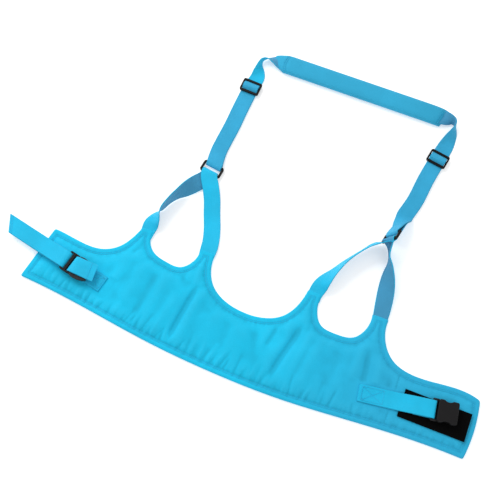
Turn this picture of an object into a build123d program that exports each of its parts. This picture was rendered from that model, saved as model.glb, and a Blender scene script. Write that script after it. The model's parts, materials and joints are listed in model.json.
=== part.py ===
from build123d import *
import os
from math import cos, radians, sin, tan

# Walking-assist harness lying flat on a surface, outer face up, lining down.
# Millimetres. +X runs along the vest towards the wing with the socket, +Y towards
# the lifting handle, +Z up. The origin is the centre of the footprint, on the surface.

os.makedirs("parts", exist_ok=True)

# ---- driving dimensions ----
WEB_WIDTH = 25.0          # nominal 25 mm webbing, used for every strap
WEB_THICK = 1.6
GAP = 0.3                 # clearance between pieces that move apart

PANEL_THICK = 7.0         # quilted vest: lining, foam and cover together
FABRIC_THICK = 1.2
FOAM_THICK = 4.4
HEM = 7.0                 # edge of the vest that is sewn flat, without foam
PEAK_Y = -93.0            # top of the four peaks that hold the loops
LEFT_FOLD_X = -190.0      # line where the left wing bends from the centre panel
RIGHT_FOLD_X = 247.0      # seam where the right wing starts
VEST_END_X = 400.0        # any distance past both ends of the vest
INSET_SAMPLES = 12        # points along each curved edge of an inset outline

WING_STRAP_Z = PANEL_THICK
LEFT_LEAN = -12.0         # left wing strap, degrees from +X
RIGHT_LEAN = 8.0          # right wing strap, degrees from +X
FOLD_CENTRE = (-361.45, -160.3)   # where the left strap doubles back
TAIL_Z = WING_STRAP_Z + WEB_THICK + 2 * GAP
TAIL_TOP_Z = 17.0         # underside of the strap's free end, over the plug
PLUG_FRONT = 111.0        # from the fold to the plug's front bar, along the strap

RING_WIRE = 3.6           # bar section of the rectangular rings
RING_LENGTH = 34.0        # outside, along the bars
RING_DEPTH = 19.6         # outside, across the bars
RING_CORNER = 4.5
TURN_RADIUS = RING_WIRE / 2 + GAP     # inside of the webbing where it goes round a bar
LEFT_RING = (-116.5, 31.0, TURN_RADIUS + WEB_THICK)
RIGHT_RING = (171.0, 22.3, 17.4)     # stands on one corner, its right side raised
LEFT_RING_BAR = (cos(radians(-8)), sin(radians(-8)), 0)
RIGHT_RING_BAR = (0.513, 0.157, 0.844)
LEFT_RING_RAIL = (-sin(radians(-8)), cos(radians(-8)), 0)
RIGHT_RING_RAIL = (0.176, 0.943, -0.2825)

SLING_FOLD_Y = 62.0       # line where both handle straps bend just above the rings
SLIDER_Y = {"left": 183.0, "right": 172.0}
SLIDER_X = {"left": -112.4, "right": 198.2}
STRAP_LEAN = {"left": 2.9, "right": 10.2}    # degrees from +Y towards +X
SLIDER_LENGTH = 31.0
SLIDER_DEPTH = 22.0
SLIDER_THICK = 3.0
SLIDER_BAR = 3.5
FIXED_LAYER_Z = WEB_THICK + GAP       # strap layer that ends at the slider
SLIDER_Z = FIXED_LAYER_Z + WEB_THICK + GAP

HANDLE_Y = 240.97
HANDLE_WIDTH = 31.0
HANDLE_HEIGHT = 12.0
HANDLE_ENDS = (-79.0, 188.0)
HANDLE_WEB_ENDS = (-122.0, 223.0)
SLEEVE_WALL = 1.2
HANDLE_WEB_Z = WEB_THICK

SOCKET_BAR = (303.0, -192.8, 12.4)
SOCKET_BAR_RADIUS = 1.8


def save(piece, label):
    """Names one finished piece and writes its STEP file."""
    piece.label = label
    export_step(piece, f"parts/{label}.step")


# ---- vest: centre panel and two wings, each a cover, a foam and a lining ----
def vest_section(x_low, x_high, inset=0.0):
    """The vest outline between two x values, as a face on the surface."""
    with BuildSketch() as section:
        with BuildLine():
            Spline((-313, -226), (-205, -236), (-100, -249), (0, -255.5), (100, -255.5),
                   (205, -247.5), (362, -240.5))
            ThreePointArc((362, -240.5), (366, -197), (362, -156))
            Spline((362, -156), (305, -153.5), (262, -156), (232, -147), (215, -128),
                   (208, PEAK_Y))
            Line((208, PEAK_Y), (183, PEAK_Y))
            Spline((183, PEAK_Y), (181.5, -118), (168, -136), (144, -140), (120, -136),
                   (108, -118), (107, PEAK_Y))
            Line((107, PEAK_Y), (85, PEAK_Y))
            Spline((85, PEAK_Y), (80, -117), (64, -143), (36, -156.5), (8, -158.5),
                   (-22, -152.5), (-44, -139), (-57, -118), (-60, PEAK_Y))
            Line((-60, PEAK_Y), (-84, PEAK_Y))
            Spline((-84, PEAK_Y), (-89, -118), (-102, -129.5), (-122, -129.5), (-146, -122.5),
                   (-157, -110), (-158, PEAK_Y))
            Line((-158, PEAK_Y), (-177, PEAK_Y))
            Spline((-177, PEAK_Y), (-184, -112), (-197, -132), (-217, -144.5), (-250, -147),
                   (-297, -142))
            Line((-297, -142), (-313, -226))
        make_face()
        with Locations(((x_low + x_high) / 2, -175)):
            Rectangle(x_high - x_low, 200, mode=Mode.INTERSECT)
    if not inset:
        return section.sketch
    # An offset spline is drawn again as a spline through points on it, so that it keeps
    # its exact shape in a STEP file.
    with BuildSketch() as inner:
        with BuildLine():
            for edge in section.face().outer_wire().offset_2d(-inset).edges():
                if edge.geom_type == GeomType.LINE:
                    Line(edge @ 0, edge @ 1)
                else:
                    Spline(*(edge @ (i / INSET_SAMPLES) for i in range(INSET_SAMPLES + 1)))
        make_face()
    return inner.sketch


PANELS = {
    "vest": (LEFT_FOLD_X, RIGHT_FOLD_X),
    "left_wing": (-VEST_END_X, LEFT_FOLD_X - GAP),
    "right_wing": (RIGHT_FOLD_X + GAP, VEST_END_X),
}
FOAM_FIT = 0.2            # space round the foam inside its cover
PATCH_SIZE = (96.0, 40.0)
LOOP_PATCH_CENTRE = (-250.0, -187.0)
HOOK_PATCH_CENTRE = (308.0, -199.0)

for panel, (x_low, x_high) in PANELS.items():
    outline = vest_section(x_low, x_high)
    pocket = vest_section(x_low, x_high, HEM)
    foam_outline = vest_section(x_low, x_high, HEM + FOAM_FIT)

    with BuildPart() as cover:
        with BuildSketch(Plane.XY.offset(FABRIC_THICK)):
            add(outline)
        extrude(amount=PANEL_THICK - FABRIC_THICK)
        with BuildSketch(Plane.XY.offset(FABRIC_THICK)):
            add(pocket)
        extrude(amount=FOAM_THICK + FOAM_FIT, mode=Mode.SUBTRACT)
    save(cover.part, f"{panel}_cover")

    with BuildPart() as foam:
        with BuildSketch(Plane.XY.offset(FABRIC_THICK)):
            add(foam_outline)
        extrude(amount=FOAM_THICK)
    save(foam.part, f"{panel}_foam")

    with BuildPart() as lining:
        with BuildSketch():
            add(outline)
        extrude(amount=FABRIC_THICK)
        if panel == "left_wing":
            with Locations((*LOOP_PATCH_CENTRE, FABRIC_THICK / 2)):
                Box(PATCH_SIZE[0] + 2 * FOAM_FIT, PATCH_SIZE[1] + 2 * FOAM_FIT, FABRIC_THICK,
                    mode=Mode.SUBTRACT)
    save(lining.part, f"{panel}_lining")

# Loop fastener set into the left lining; it meets the hook patch when the vest is closed.
with BuildPart() as loop_patch:
    with Locations((*LOOP_PATCH_CENTRE, FABRIC_THICK / 2)):
        Box(*PATCH_SIZE, FABRIC_THICK)
save(loop_patch.part, "loop_patch")

with BuildPart() as hook_patch:
    with Locations((*HOOK_PATCH_CENTRE, PANEL_THICK + FABRIC_THICK / 2)):
        Box(*PATCH_SIZE, FABRIC_THICK)
save(hook_patch.part, "hook_patch")


# ---- right wing strap and the socket ----
right_dir = (cos(radians(RIGHT_LEAN)), sin(radians(RIGHT_LEAN)), 0)
socket_side = Plane(SOCKET_BAR, x_dir=right_dir, z_dir=(right_dir[1], -right_dir[0], 0))
socket_flat = Plane(SOCKET_BAR, x_dir=right_dir, z_dir=(0, 0, 1))
STRAP_BELOW_BAR = TURN_RADIUS + WEB_THICK       # bar centre down to the strap's underside
ANCHOR_LENGTH = 46.0

with BuildPart() as right_strap:
    with BuildSketch(socket_side):
        Circle(STRAP_BELOW_BAR)
        with Locations((-30, 0)):
            Rectangle(60, 2 * STRAP_BELOW_BAR)
        Circle(TURN_RADIUS, mode=Mode.SUBTRACT)
        with Locations((-30, 0)):
            Rectangle(60, 2 * TURN_RADIUS, mode=Mode.SUBTRACT)
        with Locations((-45, TURN_RADIUS + 1)):
            Rectangle(50, 2 * WEB_THICK + 2, mode=Mode.SUBTRACT)
    extrude(amount=WEB_WIDTH / 2, both=True)
    with BuildSketch(Plane.XY):
        with Locations(((RIGHT_FOLD_X + GAP + 320) / 2, -190)):
            Rectangle(320 - RIGHT_FOLD_X - GAP, 80)
    extrude(amount=30, mode=Mode.INTERSECT)
save(right_strap.part, "right_strap")

with BuildPart() as right_anchor:
    with BuildSketch(Plane((RIGHT_FOLD_X, -200.4, WING_STRAP_Z), x_dir=right_dir, z_dir=(0, 0, 1))):
        with Locations((-ANCHOR_LENGTH / 2 - 2, 0)):
            Rectangle(ANCHOR_LENGTH, WEB_WIDTH)
    extrude(amount=WEB_THICK)
save(right_anchor.part, "right_strap_anchor")

SOCKET_LOW, SOCKET_HIGH = -3.8, 6.4             # body, below and above the bar's centre
SOCKET_BACK = 5.5                               # bar centre to the back of the body
SOCKET_MOUTH = 33.5                             # bar centre to the mouth
SOCKET_HALF_WIDTH = 15.6
SOCKET_WALL = 1.9
SOCKET_MOUTH_WIDTH = 24.6
SOCKET_CAVITY_BACK = 7.5
RELEASE_WINDOW = (13.0, 25.0)                   # where the prongs show at the sides
SCALLOP_RADIUS = 9.0                            # finger scallops over the prongs
SCALLOP_DEPTH = 2.4
CAVITY_HEIGHT = SOCKET_HIGH - SOCKET_LOW - 2 * SOCKET_WALL
WINDOW_MIDDLE = (RELEASE_WINDOW[0] + RELEASE_WINDOW[1]) / 2
with BuildPart() as socket_body:
    with BuildSketch(socket_flat.offset(SOCKET_LOW)):
        with Locations(((SOCKET_MOUTH + SOCKET_BACK) / 2, 0)):
            RectangleRounded(SOCKET_MOUTH - SOCKET_BACK, 2 * SOCKET_HALF_WIDTH, 3)
        scallop_side = SOCKET_HALF_WIDTH - SCALLOP_DEPTH + SCALLOP_RADIUS
        with Locations((WINDOW_MIDDLE, scallop_side), (WINDOW_MIDDLE, -scallop_side)):
            Circle(SCALLOP_RADIUS, mode=Mode.SUBTRACT)
    extrude(amount=SOCKET_HIGH - SOCKET_LOW)
    fillet(socket_body.edges().filter_by(Plane.XY), 1.2)
    with BuildSketch(socket_flat.offset(SOCKET_LOW + SOCKET_WALL)):
        with Locations(((SOCKET_MOUTH + 1 + SOCKET_CAVITY_BACK) / 2, 0)):
            Rectangle(SOCKET_MOUTH + 1 - SOCKET_CAVITY_BACK, SOCKET_MOUTH_WIDTH)
    extrude(amount=CAVITY_HEIGHT, mode=Mode.SUBTRACT)
    with BuildSketch(socket_flat.offset(SOCKET_LOW + SOCKET_WALL)):
        with Locations((WINDOW_MIDDLE, 0)):
            Rectangle(RELEASE_WINDOW[1] - RELEASE_WINDOW[0], 40)
    extrude(amount=CAVITY_HEIGHT, mode=Mode.SUBTRACT)
    with BuildSketch(socket_flat.offset(-2.2)):
        with Locations((2.2, SOCKET_HALF_WIDTH - 1.3), (2.2, 1.3 - SOCKET_HALF_WIDTH)):
            RectangleRounded(9, 2.6, 1.2)
    extrude(amount=4.4)
    with BuildSketch(socket_side):
        Circle(SOCKET_BAR_RADIUS)
    extrude(amount=SOCKET_HALF_WIDTH - 1, both=True)
save(socket_body.part, "socket_body")

# ---- left wing strap: sewn to the wing, folded back over it to the plug ----
left_dir = (cos(radians(LEFT_LEAN)), sin(radians(LEFT_LEAN)), 0)
left_out = (left_dir[1], -left_dir[0], 0)

with BuildPart() as left_strap_under:
    with BuildSketch(Plane((*FOLD_CENTRE, WING_STRAP_Z), x_dir=left_dir, z_dir=(0, 0, 1))):
        with Locations((84, 0)):
            Rectangle(168, WEB_WIDTH)
    extrude(amount=WEB_THICK)
save(left_strap_under.part, "left_strap_under")

fold_side = Plane((*FOLD_CENTRE, WING_STRAP_Z), x_dir=left_dir, z_dir=left_out)
FOLD_RADIUS = WEB_THICK + GAP
with BuildPart() as left_strap_fold:
    with BuildSketch(fold_side):
        with Locations((-0.1, FOLD_RADIUS)):
            Circle(FOLD_RADIUS)
            Circle(GAP, mode=Mode.SUBTRACT)
        with Locations((5, FOLD_RADIUS)):
            Rectangle(10.2, 10, mode=Mode.SUBTRACT)
    extrude(amount=WEB_WIDTH / 2, both=True)
save(left_strap_fold.part, "left_strap_fold")

RETURN_LOW = TAIL_Z - WING_STRAP_Z
RETURN_TOP = TAIL_TOP_Z - WING_STRAP_Z
RISER = PLUG_FRONT + 5.0              # strap comes up through the plug's front window here
FREE_END = PLUG_FRONT + 44.0
with BuildPart() as left_strap_return:
    with BuildSketch(fold_side):
        with BuildLine():
            Polyline((GAP, RETURN_LOW), (RISER + WEB_THICK, RETURN_LOW),
                     (RISER + WEB_THICK, RETURN_TOP), (FREE_END, RETURN_TOP),
                     (FREE_END, RETURN_TOP + WEB_THICK), (RISER, RETURN_TOP + WEB_THICK),
                     (RISER, RETURN_LOW + WEB_THICK), (GAP, RETURN_LOW + WEB_THICK), close=True)
        make_face()
    extrude(amount=WEB_WIDTH / 2, both=True)
save(left_strap_return.part, "left_strap_return")

PLUG_Z = TAIL_Z + WEB_THICK + GAP
plug_origin = Vector(*FOLD_CENTRE, PLUG_Z) + Vector(*left_dir) * PLUG_FRONT
plug_flat = Plane(plug_origin, x_dir=left_dir, z_dir=(0, 0, 1))
PRONG_THICK = 5.0
SHOULDER = 10.5                       # front bar to the front of the plug's shoulder
with BuildPart() as plug_body:
    with BuildSketch(plug_flat):
        with Locations(((SHOULDER - 6) / 2, 0)):
            RectangleRounded(SHOULDER + 6, 31, 2.5)
        with Locations((-1.9, 0)):
            Rectangle(3.6, 26, mode=Mode.SUBTRACT)
        with Locations((5.7, 0)):
            Rectangle(3.2, 26, mode=Mode.SUBTRACT)
    extrude(amount=PRONG_THICK)
    fillet(plug_body.edges().filter_by(Plane.XY).group_by(Axis.Z)[-1], 0.5)
    with BuildSketch(plug_flat.offset(0.7)):
        with Locations(((SHOULDER + 35) / 2, 0)):
            RectangleRounded(35 - SHOULDER + 4, 5.6, 2)
    extrude(amount=3.6)
save(plug_body.part, "plug_body")

PRONG_ROOT = SHOULDER + 0.5
for prong, side in (("plug_prong_upper", 1), ("plug_prong_lower", -1)):
    with BuildPart() as latch:
        with BuildSketch(plug_flat):
            with BuildLine():
                Spline((PRONG_ROOT, side * 15.2), (18, side * 16.4), (26, side * 15.4),
                       (34, side * 12.4), (38, side * 9.4))
                Line((38, side * 9.4), (35.5, side * 7.6))
                Spline((35.5, side * 7.6), (27, side * 10.2), (18, side * 11.6),
                       (PRONG_ROOT, side * 11.6))
                Line((PRONG_ROOT, side * 11.6), (PRONG_ROOT, side * 15.2))
            make_face()
        extrude(amount=PRONG_THICK)
    save(latch.part, prong)


# ---- loops: webbing from peak to ring and back to the next peak ----
def ribbon(stations):
    """A webbing run lofted through stations: x, y, z of its centre and its lean in degrees."""
    points = [Vector(*station[:3]) for station in stations]
    with BuildPart() as run:
        for i, station in enumerate(stations):
            heading = (points[min(i + 1, len(points) - 1)] - points[max(i - 1, 0)]).normalized()
            level = heading.cross(Vector(0, 0, 1)).normalized()
            across = level.rotate(Axis((0, 0, 0), heading), station[3])
            with BuildSketch(Plane(points[i], x_dir=across, z_dir=heading)):
                Rectangle(WEB_WIDTH, WEB_THICK)
        loft(ruled=True)
    return run.part


TAB_Z = PANEL_THICK / 2
LOOP_START_Y = PEAK_Y + 2.6
LOOP_RISE_Y = LOOP_START_Y + 8         # the legs leave the peaks square to the fold line
LEGS = {
    "left_loop_outer_leg": [(-167.5, LOOP_START_Y, TAB_Z, 0), (-167, LOOP_RISE_Y, 3.8, 0),
                            (-164.5, -74, 7.7, -30),
                            (-160.5, -56, 13.4, -88), (-152, -30, 8.4, -150),
                            (-138, -4, 2.4, -180), (-128, 9, 1.2, -180)],
    "left_loop_inner_leg": [(-72, LOOP_START_Y, TAB_Z, 0), (-72.4, LOOP_RISE_Y, 3.2, 0),
                            (-75.5, -62, 1.6, 0),
                            (-90, -26, 1.4, 0), (-103, -2, 4.6, 0), (-112, 12.5, 6.6, 0)],
    "right_loop_inner_leg": [(96, LOOP_START_Y, TAB_Z, 0), (96.6, LOOP_RISE_Y, 3.8, 0),
                             (104, -68, 8, -32),
                             (117, -41, 11.6, -58), (142, -5, 12.8, -66),
                             (154.5, 8.5, 13.6, -62)],
    "right_loop_outer_leg": [(195.5, LOOP_START_Y, TAB_Z, 0), (195.2, LOOP_RISE_Y, 3.6, 0),
                             (192, -64, 4.4, -14),
                             (187, -36, 10.9, -50), (181, -12, 13.6, -86),
                             (176.5, 3, 13.6, -62)],
}
for leg, stations in LEGS.items():
    save(ribbon(stations), leg)

# Short doubled layers where the webbing ends are sewn at the peaks.
TABS = ((-167.2, 18.0), (-72.4, 22.0), (96.6, 20.0), (195.2, 23.0))
with BuildPart() as loop_end_tabs:
    with BuildSketch():
        for tab_x, tab_width in TABS:
            with Locations((tab_x, LOOP_START_Y + 4.2)):
                RectangleRounded(tab_width, 6, 1)
    extrude(amount=0.8)
save(loop_end_tabs.part, "loop_end_tabs")


# ---- rings, and the strap turns that stay on them ----
def ring_plane(centre, bar, rail):
    return Plane(centre, x_dir=bar, z_dir=Vector(*bar).cross(Vector(*rail)))


RING_PITCH = RING_DEPTH - RING_WIRE      # bar centre to bar centre
for side, ring_centre, bar, rail in (("left", LEFT_RING, LEFT_RING_BAR, LEFT_RING_RAIL),
                                     ("right", RIGHT_RING, RIGHT_RING_BAR, RIGHT_RING_RAIL)):
    flat = ring_plane(ring_centre, bar, rail)
    with BuildPart() as ring:
        with BuildSketch(flat):
            RectangleRounded(RING_LENGTH, RING_DEPTH, RING_CORNER)
            RectangleRounded(RING_LENGTH - 2 * RING_WIRE, RING_DEPTH - 2 * RING_WIRE, 0.5,
                             mode=Mode.SUBTRACT)
        extrude(amount=RING_WIRE / 2, both=True)
        fillet(ring.edges().filter_by(GeomType.LINE), 1.1)
    save(ring.part, f"{side}_ring")

# Each handle strap turns round its ring's far bar: a lower layer that runs on to the
# handle and an upper layer that runs back to the slider.
STUB = SLING_FOLD_Y - GAP
with BuildPart() as left_ring_strap:
    far_bar = Vector(*LEFT_RING) + Vector(*LEFT_RING_RAIL) * (RING_PITCH / 2)
    turn_plane = Plane(far_bar, x_dir=LEFT_RING_RAIL, z_dir=LEFT_RING_BAR)
    layer_low = FIXED_LAYER_Z - LEFT_RING[2]
    layer_high = layer_low + WEB_THICK
    with BuildSketch(turn_plane):
        Circle(STRAP_BELOW_BAR)
        with BuildLine():
            Polyline((0, -STRAP_BELOW_BAR), (40, -STRAP_BELOW_BAR), (40, -TURN_RADIUS),
                     (0, -TURN_RADIUS), close=True)
        make_face()
        with BuildLine():
            Polyline((0, STRAP_BELOW_BAR), (5, STRAP_BELOW_BAR), (20, layer_high),
                     (40, layer_high), (40, layer_low), (19, layer_low), (4.4, TURN_RADIUS),
                     (0, TURN_RADIUS), close=True)
        make_face()
        Circle(TURN_RADIUS, mode=Mode.SUBTRACT)
        with Locations((STRAP_BELOW_BAR / 2, 0)):
            Rectangle(STRAP_BELOW_BAR, 2 * TURN_RADIUS, mode=Mode.SUBTRACT)
    extrude(amount=WEB_WIDTH / 2, both=True)
    with Locations((0, STUB - 100, 0)):
        Box(600, 200, 60, mode=Mode.INTERSECT)
save(left_ring_strap.part, "left_ring_strap")

right_bar = Vector(*RIGHT_RING) + Vector(*RIGHT_RING_RAIL) * (RING_PITCH / 2)
right_start = right_bar + Vector(*RIGHT_RING_RAIL) * (STRAP_BELOW_BAR + 0.9)
with BuildPart() as right_ring_strap:
    with BuildSketch(Plane(right_bar, x_dir=RIGHT_RING_RAIL, z_dir=RIGHT_RING_BAR)):
        Circle(STRAP_BELOW_BAR)
        Circle(TURN_RADIUS, mode=Mode.SUBTRACT)
        with Locations((STRAP_BELOW_BAR + 1.5, 0)):
            Rectangle(5, WEB_THICK)
    extrude(amount=WEB_WIDTH / 2, both=True)
    add(ribbon([(right_start.X, right_start.Y, right_start.Z, -58), (174.3, 42, 12.2, -50),
                (175.4, 49, 9.5, -34), (176.3, 54.5, 5, -16), (177, STUB - 2.6, 1.6, 0)]))
save(right_ring_strap.part, "right_ring_strap")


# ---- sling: the fixed strap layers, with a slider on each ----
def strap_x(side, y):
    """Centre of a handle strap at a given y."""
    return SLIDER_X[side] + (y - SLIDER_Y[side]) * tan(radians(STRAP_LEAN[side]))


def strap_strip(side, y_low, y_high, z_low):
    """A flat webbing run along one handle strap, cut square to the fold line."""
    half = WEB_WIDTH / 2 / cos(radians(STRAP_LEAN[side]))
    low, high = strap_x(side, y_low), strap_x(side, y_high)
    with BuildPart() as strip:
        with BuildSketch(Plane.XY.offset(z_low)):
            Polygon((low - half, y_low), (low + half, y_low), (high + half, y_high),
                    (high - half, y_high), align=None)
        extrude(amount=WEB_THICK)
    return strip.part


WINDOW_DEPTH = (SLIDER_DEPTH - 3 * SLIDER_BAR) / 2
HUMP_RADIUS = 5.3         # outside of the webbing over the slider's middle bar
for side in ("left", "right"):
    save(strap_strip(side, SLING_FOLD_Y + GAP, SLIDER_Y[side] - 2, FIXED_LAYER_Z),
         f"{side}_lower_strap")
    save(strap_strip(side, SLING_FOLD_Y + GAP, HANDLE_Y + WEB_WIDTH / 2, 0),
         f"{side}_upper_strap")

    lean = radians(STRAP_LEAN[side])
    bar_dir = (cos(lean), -sin(lean), 0)
    along = (sin(lean), cos(lean), 0)
    slider_flat = Plane((SLIDER_X[side], SLIDER_Y[side], SLIDER_Z), x_dir=bar_dir,
                        z_dir=(0, 0, 1))
    with BuildPart() as slider:
        with BuildSketch(slider_flat):
            RectangleRounded(SLIDER_LENGTH, SLIDER_DEPTH, 3)
            with Locations((0, (SLIDER_BAR + WINDOW_DEPTH) / 2),
                           (0, -(SLIDER_BAR + WINDOW_DEPTH) / 2)):
                Rectangle(WEB_WIDTH + 0.8, WINDOW_DEPTH, mode=Mode.SUBTRACT)
        extrude(amount=SLIDER_THICK)
        fillet(slider.edges().filter_by(Plane.XY).group_by(Axis.Z)[-1], 0.6)
    save(slider.part, f"{side}_slider")

    # The strap's sewn end, round the slider's middle bar; it travels with the slider.
    with BuildPart() as slider_strap:
        hump = Plane((SLIDER_X[side], SLIDER_Y[side], SLIDER_Z), x_dir=along, z_dir=bar_dir)
        with BuildSketch(hump):
            Circle(HUMP_RADIUS)
            Circle(HUMP_RADIUS - WEB_THICK, mode=Mode.SUBTRACT)
            with Locations((0, 1 - HUMP_RADIUS)):
                Rectangle(3 * HUMP_RADIUS, 2 * HUMP_RADIUS, mode=Mode.SUBTRACT)
        extrude(amount=WEB_WIDTH / 2, both=True)
    save(slider_strap.part, f"{side}_slider_strap")

# ---- handle: webbing from strap to strap, in a foam-lined sleeve ----
handle_low, handle_high = HANDLE_ENDS
handle_side = Plane((handle_low, HANDLE_Y, 0), x_dir=(0, 1, 0), z_dir=(1, 0, 0))
with BuildPart() as handle_sleeve:
    with BuildSketch(handle_side):
        with Locations((0, HANDLE_HEIGHT / 2)):
            RectangleRounded(HANDLE_WIDTH, HANDLE_HEIGHT, 5)
            RectangleRounded(HANDLE_WIDTH - 2 * SLEEVE_WALL, HANDLE_HEIGHT - 2 * SLEEVE_WALL, 2.4,
                             mode=Mode.SUBTRACT)
    extrude(amount=handle_high - handle_low)
save(handle_sleeve.part, "handle_sleeve")

with BuildPart() as handle_webbing:
    with Locations(((HANDLE_WEB_ENDS[0] + HANDLE_WEB_ENDS[1]) / 2, HANDLE_Y,
                    HANDLE_WEB_Z + WEB_THICK / 2)):
        Box(HANDLE_WEB_ENDS[1] - HANDLE_WEB_ENDS[0], WEB_WIDTH, WEB_THICK)
save(handle_webbing.part, "handle_webbing")

FOAM_LOW = HANDLE_WEB_Z + WEB_THICK
FOAM_HIGH = HANDLE_HEIGHT - SLEEVE_WALL - FOAM_FIT
with BuildPart() as handle_foam:
    with BuildSketch(handle_side):
        with Locations((0, (FOAM_LOW + FOAM_HIGH) / 2)):
            RectangleRounded(HANDLE_WIDTH - 2 * SLEEVE_WALL - 0.6, FOAM_HIGH - FOAM_LOW, 3)
    extrude(amount=handle_high - handle_low)
save(handle_foam.part, "handle_foam")
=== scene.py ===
import json
import random
from math import ceil, cos, exp, pi, radians, sin, tan

import bpy
import numpy as np
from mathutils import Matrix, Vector
from mathutils.geometry import delaunay_2d_cdt


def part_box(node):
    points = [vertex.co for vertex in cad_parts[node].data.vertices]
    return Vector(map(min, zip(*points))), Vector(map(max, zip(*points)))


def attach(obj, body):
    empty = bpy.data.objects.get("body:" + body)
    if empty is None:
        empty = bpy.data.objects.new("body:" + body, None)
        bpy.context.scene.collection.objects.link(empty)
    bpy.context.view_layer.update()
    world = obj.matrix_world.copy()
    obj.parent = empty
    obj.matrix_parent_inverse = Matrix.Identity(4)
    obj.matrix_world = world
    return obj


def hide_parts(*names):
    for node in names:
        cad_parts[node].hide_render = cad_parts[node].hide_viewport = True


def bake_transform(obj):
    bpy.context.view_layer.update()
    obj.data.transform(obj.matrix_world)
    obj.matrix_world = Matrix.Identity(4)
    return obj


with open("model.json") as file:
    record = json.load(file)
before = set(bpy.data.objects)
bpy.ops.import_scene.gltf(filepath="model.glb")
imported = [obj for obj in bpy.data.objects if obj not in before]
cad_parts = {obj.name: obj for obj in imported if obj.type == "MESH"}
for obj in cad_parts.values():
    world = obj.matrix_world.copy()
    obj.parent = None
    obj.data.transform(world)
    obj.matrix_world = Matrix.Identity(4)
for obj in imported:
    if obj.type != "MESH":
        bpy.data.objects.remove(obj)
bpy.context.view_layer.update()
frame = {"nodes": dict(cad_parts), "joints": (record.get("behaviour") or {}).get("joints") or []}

# A walking-assist harness that lies flat: a quilted vest in three panels, four webbing
# legs up to two rings, two handle straps with sliders, and a padded handle.
# Route points are in millimetres, as drawn; everything handed to Blender is in metres.
MM = 0.001
WEB = 25.0                # width of all webbing
THICK = 1.6               # its thickness
random.seed(7)

nodes = frame["nodes"]
joints = {joint["name"]: joint for joint in frame["joints"]}


# ---------------------------------------------------------------- materials
DULLER_FROM_TO = (0.05, 0.24)      # metres along +X over which the vest's cloth turns duller
CREASE_SHADE = 0.26                # how much painted shade darkens a deep crease
RIB_PITCH, YARN_PITCH = 0.0016, 0.0012     # metres, of the webbing's weave
RUBBED_COLOUR = (0.12, 0.12, 0.125)


class Paint:
    """A Principled material, with short ways to add the nodes that feed its shader."""

    def __init__(self, name, rough=0.5, sheen=0.0, specular=0.5):
        self.material = bpy.data.materials.new(name)
        self.material.use_nodes = True
        self.tree = self.material.node_tree
        self.shader = self.tree.nodes["Principled BSDF"]
        self.set("Roughness", rough)
        self.set("Sheen Weight", sheen)
        self.set("Specular IOR Level", specular)

    def set(self, socket, level):
        self.shader.inputs[socket].default_value = level

    def add(self, kind, inputs=None, output=0, **settings):
        """Adds a node with its settings; returns one of its outputs."""
        node = self.tree.nodes.new(kind)
        for key, value in settings.items():
            setattr(node, key, value)
        for key, value in (inputs or {}).items():
            if isinstance(value, bpy.types.NodeSocket):
                self.tree.links.new(value, node.inputs[key])
            else:
                node.inputs[key].default_value = value
        return node.outputs[output]

    def cloth_place(self):
        """The place in the cloth (metres), and how far it is across and along."""
        place = self.add("ShaderNodeAttribute", output="Vector", attribute_name="cloth")
        across = self.add("ShaderNodeSeparateXYZ", {0: place})
        along = self.add("ShaderNodeSeparateXYZ", {0: place}, 1)
        return place, across, along

    def object_place(self):
        return self.add("ShaderNodeTexCoord", output="Object")

    def math(self, operation, first, second=0.0):
        return self.add("ShaderNodeMath", {0: first, 1: second}, operation=operation)

    def wave(self, value, pitch):
        return self.math("SINE", self.math("MULTIPLY", value, 2 * pi / pitch))

    def noise(self, place, scale, detail=2.0, roughness=0.5):
        settings = {"Vector": place, "Scale": scale, "Detail": detail, "Roughness": roughness}
        return self.add("ShaderNodeTexNoise", settings, "Fac")

    def spread(self, value, low=0.0, high=1.0, to_low=0.0, to_high=1.0):
        """Maps low..high to to_low..to_high and stops at both ends."""
        return self.add("ShaderNodeMapRange", {"Value": value, "From Min": low, "From Max": high,
                                               "To Min": to_low, "To Max": to_high})

    def mix(self, share, low, high):
        """Mixes two colours, each a tuple of three or a socket."""
        low, high = (part if isinstance(part, bpy.types.NodeSocket) else (*part, 1.0)
                     for part in (low, high))
        return self.add("ShaderNodeMix", {0: share, 6: low, 7: high}, 2, data_type="RGBA")

    def finish(self, colour, height, strength, depth, rough=None):
        """Links the colour, a bump of some depth in metres, and the roughness."""
        bump = self.add("ShaderNodeBump", {"Height": height, "Strength": strength,
                                           "Distance": depth})
        self.tree.links.new(colour, self.shader.inputs["Base Color"])
        self.tree.links.new(bump, self.shader.inputs["Normal"])
        if rough is not None:
            self.tree.links.new(rough, self.shader.inputs["Roughness"])
        return self.material


def scaled(colour, share):
    return tuple(part * share for part in colour)


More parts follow.
